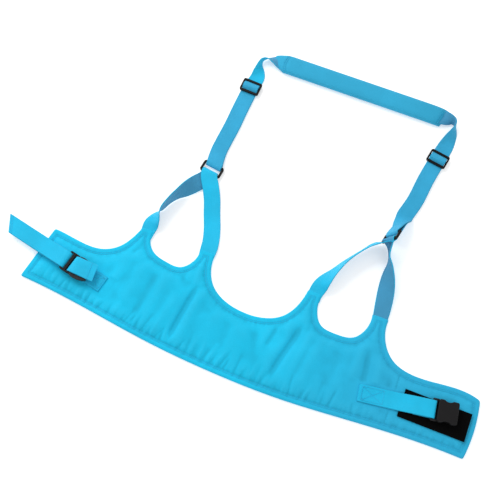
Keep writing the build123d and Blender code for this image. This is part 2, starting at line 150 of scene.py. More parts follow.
def cloth_material(name, colour, pitch, slub=0.25, rough=0.82, sheen=0.15, duller=None):
    """Plain-woven cloth: pitch is the thread spacing in metres. duller is the colour that the
    cloth drifts to along +X. Shade is painted into its creases and a highlight on to its ridges."""
    paint = Paint(name, sheen=sheen, specular=0.25)
    paint.set("Sheen Roughness", 0.4)
    place, across, along = paint.cloth_place()
    weave = paint.math("MULTIPLY", paint.wave(across, pitch), paint.wave(along, pitch))
    threads = paint.noise(place, 900.0, 3.0, 0.6)
    blotch = paint.spread(paint.noise(place, 14.0, 3.0, 0.55), 0.3, 0.7)
    base = paint.mix(blotch, scaled(colour, 1 - slub * 0.5), scaled(colour, 1 + slub * 0.25))
    if duller:
        base = paint.mix(paint.spread(across, *DULLER_FROM_TO), base, duller)
    # Painted shade: the cloth is darkened in its creases. Painted highlight: it is paled on its ridges.
    crease_shading = paint.add("ShaderNodeAttribute", output="Fac", attribute_name="crease")
    base = paint.mix(paint.spread(crease_shading, to_high=CREASE_SHADE), base, scaled(colour, 0.3))
    base = paint.mix(paint.spread(crease_shading, 0.0, -1.0, 0.0, CREASE_SHADE / 2), base,
                     tuple(min(part * 1.12 + 0.05, 1.0) for part in colour))
    worn = paint.mix(paint.spread(threads, 0.35, 0.75, 0.0, 0.16), base, scaled(colour, 0.55))
    return paint.finish(worn, paint.math("ADD", weave, threads), 0.35, 0.00025,
                        paint.spread(threads, to_low=rough - 0.1, to_high=rough + 0.1))


def webbing_material(name, colour, rough=0.62):
    """Woven webbing: ribs across and a herringbone of yarns along, with shade painted into the weave's
    dips and along the rounded selvedges.
    """
    paint = Paint(name, sheen=0.08, specular=0.2)
    place, across, along = paint.cloth_place()
    off_centre = paint.math("ABSOLUTE", across)
    chevron = paint.math("ADD", along, paint.math("MULTIPLY", off_centre, 0.9))
    weave = paint.math("MULTIPLY", paint.wave(chevron, RIB_PITCH), paint.wave(across, YARN_PITCH))
    fuzz = paint.noise(place, 700.0, 3.0, 0.6)
    tone = paint.spread(paint.noise(place, 26.0), 0.3, 0.7)
    base = paint.mix(tone, scaled(colour, 0.9), scaled(colour, 1.06))
    # Painted shade: the dips of the weave are darkened.
    dip_shaded_weave = paint.mix(paint.spread(weave, -1.0, 0.2, 0.3, 0.0), base, scaled(colour, 0.55))
    # Painted shade along the rounded selvedges: the last 1.3 mm at each edge is darkened.
    selvedge = paint.spread(off_centre, 0.0112, 0.0122, 0.0, 0.25)
    edge_shaded = paint.mix(selvedge, dip_shaded_weave, scaled(colour, 0.35))
    return paint.finish(edge_shaded, paint.math("ADD", weave, fuzz), 0.5, 0.0003,
                        paint.spread(fuzz, to_low=rough - 0.12, to_high=rough + 0.1))


def thread_material(name, colour):
    """Twisted sewing thread."""
    paint = Paint(name, rough=0.55)
    twist = paint.noise(paint.object_place(), 2500.0)
    base = paint.mix(twist, scaled(colour, 0.7), scaled(colour, 1.2))
    return paint.finish(base, twist, 0.4, 0.0001)


def plastic_material(name, colour, rough, texture, wear):
    """Moulded plastic: a fine spark-eroded texture, flow variation and edges rubbed paler."""
    paint = Paint(name, specular=0.17)
    place = paint.object_place()
    pits, flow = paint.noise(place, 2600.0), paint.noise(place, 110.0, 4.0)
    scuffs = paint.noise(place, 420.0, 6.0, 0.7)
    corner = paint.add("ShaderNodeNewGeometry", output="Pointiness")
    rubbed = paint.math("MULTIPLY", paint.spread(corner, 0.52, 0.62), scuffs)
    tone = paint.mix(flow, scaled(colour, 0.8), scaled(colour, 1.25))
    base = paint.mix(paint.math("MULTIPLY", rubbed, wear), tone, RUBBED_COLOUR)
    return paint.finish(base, pits, texture, 0.00012,
                        paint.spread(flow, to_low=rough - 0.08, to_high=rough + 0.1))


def tape_material(name, colour, cell, relief):
    """Hook or loop tape: rows of tiny hooks, or a felted pile, each cell painted paler at its middle as
    a highlight and darker towards its rim as shade.
    """
    paint = Paint(name, rough=0.85, specular=0.06)
    place = paint.object_place()
    cells = paint.add("ShaderNodeTexVoronoi", {"Vector": place, "Scale": 1 / cell,
                                               "Randomness": 0.35}, "Distance")
    fluff = paint.noise(place, 500.0, 4.0)
    # Painted highlight at each cell's middle and painted shade towards its rim.
    base = paint.mix(paint.spread(cells, 0.0, 0.7), scaled(colour, 1.6), scaled(colour, 0.4))
    return paint.finish(base, paint.math("ADD", cells, fluff), relief, 0.0006)


VEST_COLOUR = (0.006, 0.54, 0.83)
STRAP_COLOUR = (0.030, 0.40, 0.68)
vest_cloth = cloth_material("vest_cloth", VEST_COLOUR, 0.0011, duller=(0.020, 0.41, 0.67))
lining_cloth = cloth_material("lining_cloth", (0.02, 0.42, 0.70), 0.0016, slub=0.15,
                              rough=0.92, sheen=0.3)
handle_cloth = cloth_material("handle_cloth", (0.027, 0.375, 0.61), 0.0011, slub=0.15)
bright_web = webbing_material("bright_webbing", (0.0095, 0.53, 0.84))
strap_web = webbing_material("strap_webbing", STRAP_COLOUR)
# The webbing's undersides: a darker copy of the webbing's colour, which is painted shade.
underside_shade_web = webbing_material("webbing_underside_shade", (0.055, 0.31, 0.53), rough=0.75)
vest_thread = thread_material("vest_thread", (0.014, 0.44, 0.69))
web_thread = thread_material("webbing_thread", (0.02, 0.47, 0.74))
buckle_plastic = plastic_material("buckle_plastic", (0.0065, 0.006, 0.0065), 0.5, 0.35, 0.25)
prong_plastic = plastic_material("prong_plastic", (0.008, 0.0075, 0.008), 0.34, 0.2, 0.4)
slider_plastic = plastic_material("slider_plastic", (0.003, 0.003, 0.0033), 0.48, 0.25, 0.3)
ring_plastic = plastic_material("ring_plastic", (0.003, 0.0027, 0.003), 0.4, 0.15, 0.25)
hook_tape = tape_material("hook_tape", (0.0012, 0.0012, 0.0013), 0.0016, 0.8)
loop_tape = tape_material("loop_tape", (0.008, 0.008, 0.009), 0.0024, 0.5)


# ---------------------------------------------------------------- mesh helpers
def make_piece(name, points, faces, materials, face_material=None, cloth=None):
    """A smooth-shaded mesh object from points in metres."""
    mesh = bpy.data.meshes.new(name)
    mesh.from_pydata([tuple(p) for p in points], [], faces)
    for material in materials:
        mesh.materials.append(material)
    if face_material is not None:
        mesh.polygons.foreach_set("material_index", np.asarray(face_material, np.int32))
    if cloth is not None:
        attribute = mesh.attributes.new("cloth", "FLOAT_VECTOR", "POINT")
        attribute.data.foreach_set("vector", np.asarray(cloth, np.float32).ravel())
    mesh.polygons.foreach_set("use_smooth", [True] * len(mesh.polygons))
    mesh.update()
    piece = bpy.data.objects.new(name, mesh)
    bpy.context.scene.collection.objects.link(piece)
    return piece


def unit(vectors):
    vectors = np.asarray(vectors, float)
    return vectors / np.maximum(np.linalg.norm(vectors, axis=-1, keepdims=True), 1e-9)


def run_lengths(points):
    """How far along the line through the points each of them lies."""
    return np.concatenate([[0], np.cumsum(np.linalg.norm(np.diff(points, axis=0), axis=1))])


def spline_through(points, step):
    """Points about step apart on a smooth curve through the given ones (any dimension)."""
    keys = np.asarray(points, float)
    spans = np.linalg.norm(np.diff(keys[:, :3], axis=0), axis=1)
    at = np.concatenate([[0], np.cumsum(np.maximum(spans, 1e-6) ** 0.5)])
    slopes = np.zeros_like(keys)
    for i in range(len(keys)):
        a, b = max(i - 1, 0), min(i + 1, len(keys) - 1)
        slopes[i] = (keys[b] - keys[a]) / (at[b] - at[a])
    out = []
    for i in range(len(keys) - 1):
        count = max(2, int(ceil(spans[i] / step)))
        width = at[i + 1] - at[i]
        for k in range(count):
            t = k / count
            out.append((2 * t**3 - 3 * t**2 + 1) * keys[i] + (t**3 - 2 * t**2 + t) * width * slopes[i]
                       + (3 * t**2 - 2 * t**3) * keys[i + 1] + (t**3 - t**2) * width * slopes[i + 1])
    out.append(keys[-1])
    return np.array(out)


# Cross-section of webbing as (share of width, share of thickness), counter-clockwise:
# the top from +x to -x, a rounded selvedge, the underside back again, the other selvedge.
FLAT_PART = (0.47, 0.44, 0.3, 0.15, 0.0, -0.15, -0.3, -0.44, -0.47)
SELVEDGE = ((-0.492, 0.36), (-0.5, 0.0), (-0.492, -0.36))
SECTION = ([(x, 0.5) for x in FLAT_PART] + [*SELVEDGE]
           + [(-x, -0.5) for x in FLAT_PART] + [(-x, -z) for x, z in SELVEDGE])
UNDERSIDE = range(len(FLAT_PART) + len(SELVEDGE), 2 * len(FLAT_PART) + len(SELVEDGE) - 1)
FLOOR_GAP = 0.1           # webbing is kept this far above the surface it lies on


def web_mesh(name, centres, acrosses, top, under, widths):
    """Webbing along centres (mm) with its width along acrosses. top and under are materials."""
    count = len(centres)
    tangents = unit(np.gradient(centres, axis=0))
    acrosses = unit(acrosses - tangents * (acrosses * tangents).sum(1, keepdims=True))
    normals = unit(np.cross(acrosses, tangents))
    along = run_lengths(centres)
    points, cloth = [], []
    for i in range(count):
        for u, v in SECTION:
            point = centres[i] + acrosses[i] * u * widths[i] + normals[i] * v * THICK
            points.append((point[0] * MM, point[1] * MM, max(point[2], FLOOR_GAP) * MM))
            cloth.append((u * WEB * MM, along[i] * MM, v * THICK * MM))
    ring = len(SECTION)
    faces, which = [], []
    for i in range(count - 1):
        for k in range(ring):
            a, b = i * ring + k, i * ring + (k + 1) % ring
            faces.append((a, b, b + ring, a + ring))
            which.append(1 if k in UNDERSIDE else 0)
    faces.append(tuple(reversed(range(ring))))
    faces.append(tuple(range((count - 1) * ring, count * ring)))
    which += [0, 0]
    piece = make_piece(name, points, faces, [top, under], which, cloth)
    # The cut ends are square, so that they don't tilt the shading of the faces beside them.
    ends = list(piece.data.polygons)[-2:]
    square = {key for polygon in ends for key in polygon.edge_keys}
    for polygon in ends:
        polygon.use_smooth = False
    for edge in piece.data.edges:
        edge.use_edge_sharp = edge.key in square
    return piece


# One stitch: share of its length, lift above the cloth in mm, share of the thread's radius.
STITCH = ((0.06, -0.15, 0.35), (0.2, 0.1, 0.9), (0.5, 0.28, 1.0), (0.8, 0.1, 0.9),
          (0.94, -0.15, 0.35))
THREAD_SIDES = 6


def stitch_row(name, spots, material, pitch=3.0, thread=0.32):
    """Stitches along spots: (point, up) pairs in mm; each stitch is a small bowed capsule."""
    points = np.array([p for p, _ in spots], float)
    ups = unit([u for _, u in spots])
    lengths = run_lengths(points)
    verts, faces = [], []
    total = lengths[-1]
    count = int(total / pitch)

    def at(where):
        return (np.array([np.interp(where, lengths, points[:, k]) for k in range(3)]),
                unit(np.array([np.interp(where, lengths, ups[:, k]) for k in range(3)])))

    for i in range(count):
        begin = i * total / count
        base = len(verts)
        for share, lift, fat in STITCH:
            centre, up = at(begin + share * total / count)
            ahead, _ = at(begin + min(share + 0.05, 1.0) * total / count)
            behind, _ = at(begin + (share - 0.05) * total / count)
            side = unit(np.cross(ahead - behind, up))
            for k in range(THREAD_SIDES):
                turn = k * 2 * pi / THREAD_SIDES
                verts.append((centre + up * (lift + thread * fat * sin(turn))
                              + side * thread * fat * cos(turn)) * MM)
        for row in range(base, len(verts) - THREAD_SIDES, THREAD_SIDES):
            for k in range(THREAD_SIDES):
                a, b = row + k, row + (k + 1) % THREAD_SIDES
                faces.append((a, b, b + THREAD_SIDES, a + THREAD_SIDES))
        faces.append(tuple(reversed(range(base, base + THREAD_SIDES))))
        faces.append(tuple(range(len(verts) - THREAD_SIDES, len(verts))))
    return make_piece(name, verts, faces, [material])


# ---------------------------------------------------------------- the vest's outline
def panel_loop(node):
    """The longest loop of edges round the underside of a lining, as points in mm."""
    mesh = nodes[node].data
    seen = {}

    def key(vertex):
        x, y, _ = mesh.vertices[vertex].co
        return (round(x / MM, 3), round(y / MM, 3))

    low = min(v.co.z for v in mesh.vertices)
    for polygon in mesh.polygons:
        if all(mesh.vertices[v].co.z < low + 1e-5 for v in polygon.vertices):
            ring = [key(v) for v in polygon.vertices]
            for a, b in zip(ring, ring[1:] + ring[:1]):
                if a != b:
                    pair = (min(a, b), max(a, b))
                    seen[pair] = seen.get(pair, 0) + 1
    links = {}
    for (a, b), times in seen.items():
        if times == 1:
            links.setdefault(a, []).append(b)
            links.setdefault(b, []).append(a)
    best = []
    unused = set(links)
    while unused:
        start = min(unused)
        loop, here, before = [start], start, None
        unused.discard(start)
        while True:
            ahead = [n for n in links[here] if n != before and n in unused]
            if not ahead:
                break
            before, here = here, ahead[0]
            unused.discard(here)
            loop.append(here)
        if len(loop) > len(best):
            best = loop
    return np.array(best)


def open_chain(loop, low_first):
    """The loop from one cut corner round to the other, without the straight cut between."""
    gaps = np.linalg.norm(np.roll(loop, -1, axis=0) - loop, axis=1)
    cut = int(np.argmax(gaps))
    chain = np.roll(loop, -(cut + 1), axis=0)
    return chain if (chain[0][1] < chain[-1][1]) == low_first else chain[::-1]


def whole_outline(step):
    """The vest's outline, counter-clockwise, at even steps in mm."""
    right = open_chain(panel_loop("right_wing_lining"), True)
    left = open_chain(panel_loop("left_wing_lining"), False)
    middle = panel_loop("vest_lining")
    x_left, x_right = middle[:, 0].min(), middle[:, 0].max()
    corner = []
    for x, pick in ((x_left, np.argmin), (x_right, np.argmin), (x_right, np.argmax),
                    (x_left, np.argmax)):
        on_cut = np.nonzero(np.abs(middle[:, 0] - x) < 0.01)[0]
        corner.append(int(on_cut[pick(middle[on_cut, 1])]))
    turned = np.roll(middle, -corner[0], axis=0)
    at = [(c - corner[0]) % len(middle) for c in corner]
    if at[1] > at[2]:
        turned = np.roll(turned[::-1], 1, axis=0)
        at = [(len(middle) - a) % len(middle) for a in at]
    low, high = turned[at[0] : at[1] + 1], turned[at[2] : at[3] + 1]
    ring = np.vstack([low, right, high, left])
    closed = np.vstack([ring, ring[:1]])
    lengths = run_lengths(closed)
    count = int(lengths[-1] / step)
    even = np.linspace(0, lengths[-1], count, endpoint=False)
    out = np.column_stack([np.interp(even, lengths, closed[:, k]) for k in (0, 1)])
    for _ in range(2):
        out = 0.25 * np.roll(out, 1, axis=0) + 0.5 * out + 0.25 * np.roll(out, -1, axis=0)
    return out


def hypot_rows(points, centre):
    return np.hypot(points[:, 0] - centre[0], points[:, 1] - centre[1])


def edge_distance(points, outline):
    """Distance in mm from each point to the outline."""
    a, b = outline, np.roll(outline, -1, axis=0)
    span = b - a
    size = (span**2).sum(1)
    found = np.full(len(points), 1e9)
    for begin in range(0, len(points), 2000):
        part = points[begin : begin + 2000]
        t = np.clip(((part[:, None] - a) * span).sum(2) / size, 0, 1)
        gap = part[:, None] - (a + t[..., None] * span)
        found[begin : begin + 2000] = np.sqrt((gap**2).sum(2)).min(1)
    return found


# ---------------------------------------------------------------- the vest's relief
EDGE_HEIGHT = 1.7         # where the cover and the lining meet
HEM_HEIGHT = 4.6
PAD_HEIGHT = 6.5
PRESSED_HEIGHT = 6.6      # most that the cover may rise under what lies on it
EDGE_ROLL = 2.6           # the edge is rounded over this distance
OUTLINE_STEP = 1.7
STITCH_LINES = (7.0, 9.2)         # distances from the edge of the two rows of topstitching
GROOVE_DEPTH = 0.3        # how deep their threads pull the cloth in
SEAM_X = 247.0            # the seam across the right wing
BOTTOM_Y = -215           # below this the outline is the gathered bottom edge

FOLD_SHARE, PUCKER_SHARE = 1.15, 0.72      # what counts of a fold's and a gather's height

# What presses the cover flat: centre, half size and lean in degrees of the hook patch and
# the two wing straps.
PRESSED = (((308, -199), (50, 22), 0.0), ((-272, -181), (92, 15), -12.0),
           ((247, -201), (62, 14), 8.0))
PRESS_FADE = 5.0

# Soft folds of the outer cloth: start, end, height and half width in mm.
FOLDS = [
    ((-67, -150), (-77, -240), -2.6, 5.0), ((-58, -158), (-64, -238), 1.1, 8),
    ((-86, -165), (-104, -242), 1.6, 9), ((-127, -145), (-137, -230), -1.2, 7),
    ((-112, -150), (-120, -226), 0.8, 8), ((-150, -140), (-160, -220), 0.9, 9),
    ((-176, -158), (-198, -224), 1.0, 8), ((-163, -109), (-175, -140), -1.0, 4),
    ((-73, -104), (-70, -150), 0.8, 5), ((95, -148), (75, -236), -2.6, 5.4),
    ((84, -140), (60, -232), 1.1, 9), ((63, -160), (56, -196), -1.1, 4),
    ((126, -160), (116, -238), 1.5, 9), ((112, -146), (99, -226), 0.9, 6),
    ((158, -146), (150, -232), -0.9, 10), ((197, -150), (203, -212), -1.3, 5),
    ((186, -128), (184, -196), 0.9, 7), ((214, -146), (222, -236), 0.8, 7),
    ((20, -172), (2, -244), 0.8, 14), ((-20, -166), (-36, -240), 0.9, 12),
    ((40, -168), (30, -236), -0.8, 9), ((-245, -150), (-225, -166), 0.7, 7),
    ((-271, -151), (-212, -153), 0.7, 4), ((280, -164), (356, -162), 0.6, 5),
    ((262, -226), (350, -230), 0.5, 5), ((236, -170), (240, -236), -0.7, 5),
    ((-40, -130), (-60, -168), 0.8, 7), ((66, -128), (84, -170), 0.7, 6),
    ((-95, -118), (-88, -152), -0.7, 5), ((108, -124), (104, -158), -0.7, 5),
]


def beside(points, start, end):
    """How far along a segment (0 to 1) and how far off it each point is."""
    a, b = np.array(start, float), np.array(end, float)
    span = b - a
    t = np.clip(((points - a) @ span) / (span @ span), 0, 1)
    return t, np.hypot(*(points - (a + t[:, None] * span)).T)


def gather_strength(x):
    """How strongly the bottom edge is gathered at x, in mm: most on the left."""
    return 1.2 + 1.5 * exp(-((x + 175) / 110) ** 2) + 0.7 * exp(-((x - 60) / 90) ** 2)


def make_puckers(outline):
    """Short gathers square to the edge: foot, tip, height, half width."""
    found = []
    count = len(outline)
    ahead = np.roll(outline, -2, axis=0) - np.roll(outline, 2, axis=0)
    inward = unit(np.column_stack([-ahead[:, 1], ahead[:, 0]]))
    i = 0
    while i < count:
        x, y = outline[i]
        bottom = y < BOTTOM_Y
        if bottom:
            strong = gather_strength(x)
            reach = random.uniform(9, 34)
        else:
            strong = 0.8
            reach = random.uniform(8, 16)
        lean = random.uniform(-0.35, 0.1) if bottom else random.uniform(-0.3, 0.3)
        slide = np.array([-inward[i][1], inward[i][0]]) * lean
        way = inward[i] + slide
        foot = outline[i] + inward[i] * random.uniform(4, 7)
        found.append((foot, foot + way * reach, strong * random.uniform(0.35, 1.0)
                      * random.choice((1, -1, -1)), random.uniform(1.6, 2.9)))
        i += random.choice((2, 3, 3, 4, 5) if bottom else (4, 6, 8))
    return found


def pressed(points, depth):
    """Share (0 to 1) by which what lies on the cover presses it flat at each point."""
    share = np.zeros(len(points))
    for centre, half, lean in PRESSED:
        c, s = cos(radians(lean)), sin(radians(lean))
        off = points - np.array(centre)
        u = np.abs(off[:, 0] * c + off[:, 1] * s) - half[0]
        v = np.abs(-off[:, 0] * s + off[:, 1] * c) - half[1]
        share = np.maximum(share, 1 - np.clip(np.maximum(u, v) / PRESS_FADE, 0, 1))
    return share * np.clip(depth / 6.0, 0, 1)


def rounding(depth):
    """Share (0 to 1) of its full height that the rounded edge has reached."""
    roll = np.clip(depth / EDGE_ROLL, 0, 1)
    return np.sqrt(np.clip(1 - (1 - roll) ** 2, 0, 1))


def relief(points, depth, puckers):
    """Height in mm of the cover over each point, depth mm inside the edge."""
    hem = EDGE_HEIGHT + (HEM_HEIGHT - EDGE_HEIGHT) * rounding(depth)
    rise = np.clip((depth - STITCH_LINES[1] - 0.4) / 14.0, 0, 1)
    height = hem + (PAD_HEIGHT - HEM_HEIGHT) * (1 - (1 - rise) ** 2.2)
    for line in STITCH_LINES:
        height -= GROOVE_DEPTH * np.exp(-(((depth - line) / 0.7) ** 2))
    inside = np.clip((depth - 4) / 12.0, 0, 1)
    cloth = np.zeros(len(points))
    for start, end, lift, half in FOLDS:
        t, off = beside(points, start, end)
        fade = np.clip(np.minimum(t, 1 - t) / 0.22, 0, 1)
        cloth += FOLD_SHARE * lift * np.exp(-((off / half) ** 2)) * (0.25 + 0.75 * fade)
    for foot, tip, lift, half in puckers:
        near = hypot_rows(points, foot) < 45
        t, off = beside(points[near], foot, tip)
        cloth[near] += PUCKER_SHARE * lift * np.exp(-((off / half) ** 2)) * np.clip(1.25 - t, 0, 1)
    seam = -1.2 * np.exp(-(((points[:, 0] - SEAM_X) / 0.9) ** 2))
    near_edge = np.clip(depth / 5.0, 0.0, 1)
    flat = pressed(points, depth)
    height += cloth * np.maximum(inside, 0.35) * near_edge * (1 - flat)
    height += seam * np.clip((depth - 9) / 3, 0, 1) * (1 - flat)
    return height * (1 - flat) + np.minimum(height, PRESSED_HEIGHT) * flat


def evened(rows, faces, times):
    """Each row of values averaged with its neighbours on the mesh, several times over."""
    pairs = np.array([(a, b) for f in faces for a, b in zip(f, f[1:] + f[:1])])
    links = np.maximum(np.bincount(pairs[:, 0], minlength=len(rows)), 1)
    rows = rows.copy()
    for _ in range(times):
        for k in range(rows.shape[1]):
            total = np.bincount(pairs[:, 0], weights=rows[pairs[:, 1], k], minlength=len(rows))
            rows[:, k] = 0.3 * rows[:, k] + 0.7 * total / links
    return rows


SOLVER_FRAMES = 12


def simulated(points, heights, faces, held):
    """The cover's points in mm after the cloth solver has blown it up, held along its seams."""
    mesh = bpy.data.meshes.new("cover_cloth")
    flat = np.column_stack([points, heights]) * MM
    mesh.from_pydata([tuple(p) for p in flat], [], faces)
    cloth_object = bpy.data.objects.new("cover_cloth", mesh)
    bpy.context.scene.collection.objects.link(cloth_object)
    pins = cloth_object.vertex_groups.new(name="pins")
    for i in np.nonzero(held > 0)[0]:
        pins.add([int(i)], float(held[i]), "REPLACE")
    modifier = cloth_object.modifiers.new("Cloth", "CLOTH")
    setting = modifier.settings
    setting.quality = 5
    setting.mass = 0.15
    setting.tension_stiffness = setting.compression_stiffness = 12
    setting.shear_stiffness = 6
    setting.bending_stiffness = 0.3
    setting.shrink_min = -0.012
    setting.vertex_group_mass = "pins"
    setting.use_pressure = True
    setting.uniform_pressure_force = 1.2
    setting.effector_weights.gravity = 0
    modifier.collision_settings.use_collision = False
    scene = bpy.context.scene
    modifier.point_cache.frame_start, modifier.point_cache.frame_end = 1, SOLVER_FRAMES
    for step in range(1, SOLVER_FRAMES + 1):
        scene.frame_set(step)
    graph = bpy.context.evaluated_depsgraph_get()
    result = cloth_object.evaluated_get(graph).to_mesh()
    out = np.zeros(len(points) * 3)
    result.vertices.foreach_get("co", out)
    out = out.reshape(-1, 3) / MM
    scene.frame_set(1)
    bpy.data.objects.remove(cloth_object)
    return out


def vest_outline():
    """The whole outline, and the direction square to it that points into the vest."""
    outline = whole_outline(OUTLINE_STEP)
    ahead = np.roll(outline, -1, axis=0) - np.roll(outline, 1, axis=0)
    inward = unit(np.column_stack([-ahead[:, 1], ahead[:, 0]]))
    if np.sum(outline[:, 0] * np.roll(outline[:, 1], -1)
              - np.roll(outline[:, 0], -1) * outline[:, 1]) < 0:
        inward = -inward
    return outline, inward


SPLIT_X = 12.0            # hidden line where the two halves of the vest's mesh meet


def grid_points(outline, spacing, least):
    """Hexagonal grid of points inside the outline, at least so far from its edge."""
    low, high = outline.min(0), outline.max(0)
    rows = []
    y, odd = low[1], 0
    while y < high[1]:
        xs = np.arange(low[0] + odd * spacing / 2, high[0], spacing)
        rows.append(np.column_stack([xs, np.full(len(xs), y)]))
        y, odd = y + spacing * 0.866, 1 - odd
    points = np.vstack(rows)
    x, y = points[:, 0], points[:, 1]
    inside = np.zeros(len(points), bool)
    for (ax, ay), (bx, by) in zip(outline, np.roll(outline, -1, axis=0)):
        if ay != by:
            crosses = ((ay > y) != (by > y)) & (x < (bx - ax) * (y - ay) / (by - ay) + ax)
            inside ^= crosses
    points = points[inside]
    return points[edge_distance(points, outline) > least]


def sheet_mesh(outline, inner):
    """Triangulates outline and inner points; the outline comes first and keeps its order.
    The split line is a row of edges at SPLIT_X."""
    points = np.vstack([outline, inner])
    count = len(outline)
    edges = [(i, (i + 1) % count) for i in range(count)]
    found, _, faces, *_ = delaunay_2d_cdt([Vector(p) for p in points], edges, [], 1, 1e-6)
    return np.array([tuple(v) for v in found]), [tuple(f) for f in faces]


def snap_to_split(outline):
    """Moves the outline's points beside the split line exactly on to it."""
    for i in range(len(outline)):
        ahead = (i + 1) % len(outline)
        here, there = outline[i][0] - SPLIT_X, outline[ahead][0] - SPLIT_X
        if here * there <= 0 and here != there:
            outline[i if abs(here) < abs(there) else ahead][0] = SPLIT_X


def line_inside(outline, inward, depth):
    """The outline moved inwards, without the points that a tight bend folds back."""
    moved = outline + inward * depth
    return moved[edge_distance(moved, outline) > depth * 0.985]


def inner_points(outline, inward, depths, spacing, least, near_edge, step):
    """Points inside the outline: rows along it, a grid, and the column on the split line."""
    rows = [line_inside(outline, inward, depth) for depth in depths]
    points = np.vstack(rows + [grid_points(outline, spacing, least)])
    ends = outline[np.abs(outline[:, 0] - SPLIT_X) < 1e-6][:, 1]
    low, high = ends.min(), ends.max()
    first, second, margin = near_edge
    column = np.concatenate([[low + first, low + second],
                             np.arange(low + margin, high - margin, step),
                             [high - second, high - first]])
    points = points[np.abs(points[:, 0] - SPLIT_X) > 1.0]
    return np.vstack([points, np.column_stack([np.full(len(column), SPLIT_X), column])])


COVER_DEPTHS = (0.6, 1.3, 2.4, 3.8, 5.2, 6.2, 7.0, 7.8, 8.5, 9.2, 10.0, 11.0, 12.6)
LINING_DEPTHS = (0.6, 1.5, 3.0, 7.0, 9.2)
PUFF_LIMIT = 2.2          # how far the cloth solver may move a point
PUFF_SHARE = np.array([0.3, 0.3, 1.0])     # how much of that is kept along x, y and z
EVENED_TIMES = 9          # the solver's movement is averaged this often, against fine ripples


def puffed(place, faces, depth):
    """The cover after the cloth solver, evened out and held back near its seams."""
    plan, height = place[:, :2], place[:, 2]
    held = np.where(depth < STITCH_LINES[1] + 0.8, 1.0, 0.0)
    held = np.maximum(held, (pressed(plan, depth) > 0.3) * 1.0)
    held = np.maximum(held, (np.abs(plan[:, 0] - SEAM_X) < 1.5) * 1.0)
    blown = simulated(plan, height, faces, held)
    move = evened(np.clip(blown - place, -PUFF_LIMIT, PUFF_LIMIT), faces, EVENED_TIMES)
    free = np.clip((depth - STITCH_LINES[1]) / 4, 0, 1)[:, None]
    on_split = np.abs(plan[:, 0] - SPLIT_X) < 1e-6
    place = place + move * free * PUFF_SHARE
    place[on_split, 0] = SPLIT_X
    return place


def lining_height(plan, depth):
    """The lining rolls up to meet the cover and lies behind the loop patch."""
    height = EDGE_HEIGHT * (1 - rounding(depth))
    height += 0.35 * np.exp(-(((depth - STITCH_LINES[0]) / 0.8) ** 2))
    patch_low, patch_high = (np.array(corner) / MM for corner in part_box("loop_patch"))
    on_patch = ((plan > patch_low[:2] - 4) & (plan < patch_high[:2] + 4)).all(1)
    height[on_patch] = np.maximum(height[on_patch], 0.9)
    return height


def build_vest():
    """One closed skin: the outline's points are shared by the cover and the lining."""
    outline, inward = vest_outline()
    snap_to_split(outline)
    count = len(outline)
    inner = inner_points(outline, inward, COVER_DEPTHS, 2.2, 13.8, (0.6, 1.3, 2.4), 2.0)
    top, top_faces = sheet_mesh(outline, inner)
    depth = edge_distance(top, outline)
    place = np.column_stack([top, relief(top, depth, make_puckers(outline))])
    place = puffed(place, top_faces, depth)
    inner = inner_points(outline, inward, LINING_DEPTHS, 6.0, 12.0, (0.6, 1.5, 3.0), 5.0)
    under, under_faces = sheet_mesh(outline, inner)
    low = lining_height(under, edge_distance(under, outline))
    points = np.vstack([place, np.column_stack([under, low])[count:]])
    shifted = [tuple(v if v < count else v - count + len(place) for v in f) for f in under_faces]
    faces = [tuple(f) for f in top_faces] + [tuple(reversed(f)) for f in shifted]
    material = [0] * len(top_faces) + [1] * len(shifted)
    return outline, inward, points, faces, material


def split_half(points, faces, material, normals, side, name):
    """The half of the vest on one side (-1 or 1) of the split line, closed along it, with the
    whole vest's shading."""
    keep, which = [], []
    for face, slot_index in zip(faces, material):
        middle = sum(points[v][0] for v in face) / len(face)
        if (middle - SPLIT_X) * side > 0:
            keep.append(face)
            which.append(slot_index)
    sides = {(a, b) for face in keep for a, b in zip(face, face[1:] + face[:1])}
    border = {a: b for a, b in sides if (b, a) not in sides}
    start = min(border)
    ring, here = [start], border[start]
    while here != start and len(ring) < len(border) + 1:
        ring.append(here)
        here = border[here]
    keep.append(tuple(reversed(ring)))
    which.append(1)
    used = sorted({v for f in keep for v in f})
    index = {v: i for i, v in enumerate(used)}
    piece = make_piece(name, points[used] * MM, [tuple(index[v] for v in f) for f in keep],
                       [vest_cloth, lining_cloth], which, points[used] * MM)
    piece.data.normals_split_custom_set_from_vertices([tuple(normals[v]) for v in used])
    # The crease levels by which shade and highlight are painted on the cloth.
    crease_shading = piece.data.attributes.new("crease", "FLOAT", "POINT")
    crease_shading.data.foreach_set("value", vest_crease_shading[used].astype(np.float32))
    return piece


def creases(points, faces):
    """How deep each point lies below the cloth round it: -1 on a ridge to 1 in a hollow. These levels
    paint shade into the cover's hollows and a highlight on to its ridges.
    """
    level = evened(points[:, 2:], faces, 10)[:, 0]
    depth = edge_distance(points[:, :2], outline)
    return np.clip((level - points[:, 2]) / 0.45, -1, 1) * np.clip((depth - 3) / 4, 0, 1)


def vertex_normals(points, faces):
    normals = np.zeros_like(points)
    for face in faces:
        a, b, c = points[face[0]], points[face[1]], points[face[2]]
        turn = np.cross(b - a, c - a)
        for v in face:
            normals[v] += turn
    return unit(normals)


outline, inward, vest_points, vest_faces, vest_slots = build_vest()
vest_normals = vertex_normals(vest_points, vest_faces)
# Levels for the shade painted into the creases and the highlight painted on the ridges.
vest_crease_shading = creases(vest_points, vest_faces)


def blend_left(piece):
    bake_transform(piece)


def blend_right(piece):
    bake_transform(piece)


